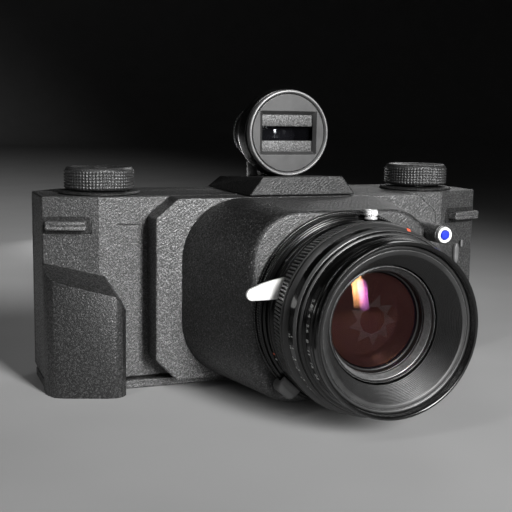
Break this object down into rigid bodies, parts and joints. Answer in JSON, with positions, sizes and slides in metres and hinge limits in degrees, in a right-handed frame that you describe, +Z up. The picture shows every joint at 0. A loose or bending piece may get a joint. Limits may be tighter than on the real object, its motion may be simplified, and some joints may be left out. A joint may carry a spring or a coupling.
{
  "type": "viewfinder camera",
  "caption": "Wide-frame film camera with a leaf-shutter lens on a square cone, clip-on optical finder, two knurled top knobs, side grip and hinged back.",
  "frame": {"origin": "on the underside of the base plate, below the middle of the front wall", "axes": "+X to the right in a front view, -Y out of the lens, +Z up"},
  "size_m": [0.1691, 0.119, 0.1007],
  "materials": {
    "printed": "sintered, fine grain",
    "cone_black": "smooth matte",
    "black_metal": "satin black anodised",
    "dark_metal": "blackened",
    "bright_metal": "polished",
    "grey_metal": "fine brushed",
    "white_paint": "white enamel",
    "blue_plastic": "gloss",
    "red_plastic": "gloss",
    "glass": "coated, polished"
  },
  "bodies": {
    "camera_body": {"body_shell": "printed", "top_deck": "printed", "base_plate": "printed", "tripod_bushing": "bright_metal", "base_screw_left": "dark_metal", "base_screw_right": "dark_metal", "front_plate": "printed", "lens_cone": "cone_black", "release_collar": "white_paint", "hand_grip": "printed", "strap_lug_left": "grey_metal", "strap_lug_right": "grey_metal", "side_stop": "grey_metal", "hinge_pin": "bright_metal", "film_gate": "black_metal", "advance_disc": "printed", "rewind_disc": "printed", "lens_flange": "black_metal", "finder_base": "printed", "accessory_shoe": "dark_metal"},
    "door": {"back_door": "printed", "pressure_plate": "dark_metal"},
    "latch": {"door_latch": "dark_metal"},
    "film_advance": {"advance_knob": "printed", "advance_shaft": "bright_metal", "takeup_spool": "black_metal"},
    "film_rewind": {"rewind_knob": "printed", "rewind_shaft": "bright_metal"},
    "left_roller": {"roller_left": "bright_metal"},
    "right_roller": {"roller_right": "bright_metal"},
    "focus": {"focus_ring": "black_metal", "focus_tab": "dark_metal"},
    "lens_unit": {"lens_tube": "black_metal", "shutter_housing": "black_metal", "front_barrel": "black_metal", "filter_ring": "black_metal", "hood_cone": "black_metal", "retaining_ring": "dark_metal", "front_cell": "black_metal", "front_element": "glass", "aperture_blades": "black_metal", "shutter_blades": "black_metal", "rear_cell": "black_metal", "rear_element": "glass", "sync_terminal": "bright_metal"},
    "cocking": {"cocking_lever": "white_paint"},
    "speed": {"speed_ring": "black_metal"},
    "aperture": {"aperture_ring": "grey_metal", "aperture_index": "red_plastic"},
    "release": {"release_button": "blue_plastic"},
    "side_control": {"side_slide": "grey_metal"},
    "finder": {"finder_body": "black_metal", "finder_bezel": "grey_metal", "finder_faceplate": "grey_metal", "finder_masks": "grey_metal", "finder_front_glass": "glass", "finder_eyepiece": "black_metal", "finder_rear_glass": "glass"}
  },
  "joints": [
    {"name": "door_hinge", "type": "hinge", "parent": "camera_body", "child": "door", "pos_m": [0.0846, 0.02515, 0.032], "axis": [0, 0, -1], "range_deg": [0, 105]},
    {"name": "latch_slide", "type": "slide", "parent": "door", "child": "latch", "axis": [0, 0, 1], "range_m": [0, 0.005]},
    {"name": "advance_turn", "type": "hinge", "parent": "camera_body", "child": "film_advance", "pos_m": [-0.0613, 0.01445, 0.0659], "axis": [0, 0, -1], "continuous": true},
    {"name": "rewind_turn", "type": "hinge", "parent": "camera_body", "child": "film_rewind", "pos_m": [0.0613, 0.01445, 0.0659], "axis": [0, 0, -1], "continuous": true},
    {"name": "left_roller_turn", "type": "hinge", "parent": "camera_body", "child": "left_roller", "pos_m": [-0.0436, 0.0202, 0.032], "axis": [0, 0, 1], "continuous": true},
    {"name": "right_roller_turn", "type": "hinge", "parent": "camera_body", "child": "right_roller", "pos_m": [0.0436, 0.0202, 0.032], "axis": [0, 0, 1], "continuous": true},
    {"name": "focus_turn", "type": "hinge", "parent": "camera_body", "child": "focus", "pos_m": [0.0038, -0.046, 0.0321], "axis": [0, 1, 0], "range_deg": [0, 60]},
    {"name": "focus_travel", "type": "slide", "parent": "camera_body", "child": "lens_unit", "axis": [0, -1, 0], "range_m": [0, 0.0025]},
    {"name": "cocking_swing", "type": "hinge", "parent": "lens_unit", "child": "cocking", "pos_m": [0.0038, -0.053, 0.0321], "axis": [0, 1, 0], "range_deg": [0, 55]},
    {"name": "speed_turn", "type": "hinge", "parent": "lens_unit", "child": "speed", "pos_m": [0.0038, -0.058, 0.0321], "axis": [0, 1, 0], "range_deg": [-70, 50]},
    {"name": "aperture_turn", "type": "hinge", "parent": "lens_unit", "child": "aperture", "pos_m": [0.0038, -0.065, 0.0321], "axis": [0, 1, 0], "range_deg": [-60, 60]},
    {"name": "release_press", "type": "slide", "parent": "camera_body", "child": "release", "axis": [0, 1, 0], "range_m": [0, 0.0012], "stiffness_N_per_m": 400, "springref_m": -0.002},
    {"name": "side_slide_travel", "type": "slide", "parent": "camera_body", "child": "side_control", "axis": [0, 0, -1], "range_m": [0, 0.004]},
    {"name": "finder_slide", "type": "slide", "parent": "camera_body", "child": "finder", "axis": [0, 1, 0], "range_m": [0, 0.022]}
  ],
  "couplings": [
    {"joint": "focus_turn", "follows": "focus_travel", "rad_per_m": 418.8}
  ]
}
